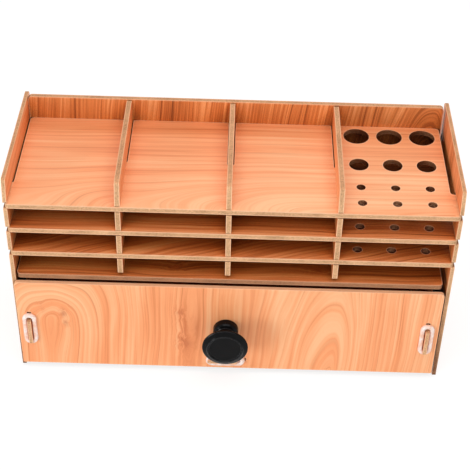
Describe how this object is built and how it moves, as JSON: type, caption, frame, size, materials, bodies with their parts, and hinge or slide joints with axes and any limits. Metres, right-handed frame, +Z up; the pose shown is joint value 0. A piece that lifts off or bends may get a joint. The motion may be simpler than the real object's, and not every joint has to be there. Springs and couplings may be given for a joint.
{
  "type": "drawer organizer",
  "caption": "Desktop organizer of slotted wood-film boards: a pull-out drawer under rows of open pigeonholes, with a divided top tray and tool holes at the right.",
  "frame": {"origin": "on the floor, in the middle of the bounding box of the closed organizer, with its knob", "axes": "+X to the right seen from the front, along the organizer's length; +Y from the drawer front to the back panel; +Z up"},
  "size_m": [0.3478, 0.1508, 0.1873],
  "materials": {
    "film_board": "satin wood-print film on fibreboard, raw tan edges",
    "film_board_dark": "satin wood-print film on fibreboard, raw tan edges",
    "clear_ring": "clear, slightly milky",
    "black_knob": "glossy black",
    "screw_steel": "zinc-plated"
  },
  "bodies": {
    "housing": {"left_side_panel": "film_board", "right_side_panel": "film_board", "back_panel": "film_board_dark", "base_panel": "film_board", "drawer_cover": "film_board", "lower_shelf": "film_board", "upper_shelf": "film_board", "top_deck": "film_board", "divider_left": "film_board", "divider_middle": "film_board", "divider_right": "film_board", "back_ring_left": "clear_ring", "back_ring_right": "clear_ring", "cover_ring_left": "clear_ring", "cover_ring_right": "clear_ring", "base_ring_left": "clear_ring", "base_ring_right": "clear_ring"},
    "drawer": {"drawer_front": "film_board", "drawer_left_side": "film_board", "drawer_right_side": "film_board", "drawer_back": "film_board", "drawer_floor": "film_board", "front_ring_left": "clear_ring", "front_ring_right": "clear_ring", "front_ring_floor": "clear_ring", "rear_ring_left": "clear_ring", "rear_ring_right": "clear_ring", "drawer_knob": "black_knob", "knob_screw": "screw_steel"}
  },
  "joints": [
    {"name": "drawer_slide", "type": "slide", "parent": "housing", "child": "drawer", "axis": [0, -1, 0], "range_m": [0, 0.085]}
  ]
}
